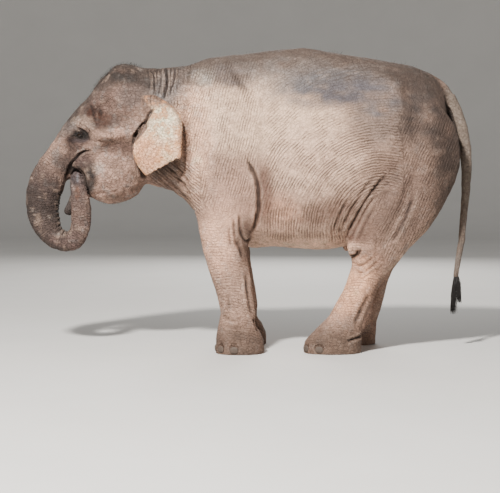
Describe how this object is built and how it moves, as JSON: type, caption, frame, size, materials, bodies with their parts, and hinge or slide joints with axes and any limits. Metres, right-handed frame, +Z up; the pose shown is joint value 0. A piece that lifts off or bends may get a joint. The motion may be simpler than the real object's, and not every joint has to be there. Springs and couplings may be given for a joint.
{
  "type": "asian elephant",
  "caption": "Life-size standing Asian elephant cow with the trunk curled back to the mouth, a still animal model.",
  "frame": {"origin": "on the floor under the middle of the bounding box", "axes": "+X from the trunk towards the tail, -Y towards the animal's left side, +Z up"},
  "size_m": [3.512, 1.1072, 2.3642],
  "materials": {
    "skin": "dry wrinkled hide, pinkish grey-brown, dusty",
    "ear_skin": "thin pale pink hide with freckles",
    "nail": "worn horn",
    "hair": "coarse black hair",
    "eye": "wet and glossy"
  },
  "bodies": {
    "root": {"head": "skin", "neck": "skin", "barrel": "skin", "rump": "skin", "trunk_upper": "skin", "trunk_bend": "skin", "trunk_return": "skin", "trunk_tip": "skin", "tail_upper": "skin", "tail_lower": "skin", "upper_arm_left": "skin", "forearm_left": "skin", "forefoot_left": "skin", "thigh_left": "skin", "shank_left": "skin", "hindfoot_left": "skin", "upper_arm_right": "skin", "forearm_right": "skin", "forefoot_right": "skin", "thigh_right": "skin", "shank_right": "skin", "hindfoot_right": "skin", "ear_left": "ear_skin", "ear_right": "ear_skin", "eye_left": "eye", "eye_right": "eye", "tail_tuft": "hair", "nail_forefoot_left_1": "nail", "nail_forefoot_left_2": "nail", "nail_forefoot_left_3": "nail", "nail_forefoot_left_4": "nail", "nail_forefoot_left_5": "nail", "nail_hindfoot_left_1": "nail", "nail_hindfoot_left_2": "nail", "nail_hindfoot_left_3": "nail", "nail_hindfoot_left_4": "nail", "nail_forefoot_right_1": "nail", "nail_forefoot_right_2": "nail", "nail_forefoot_right_3": "nail", "nail_forefoot_right_4": "nail", "nail_forefoot_right_5": "nail", "nail_hindfoot_right_1": "nail", "nail_hindfoot_right_2": "nail", "nail_hindfoot_right_3": "nail", "nail_hindfoot_right_4": "nail"}
  },
  "joints": []
}
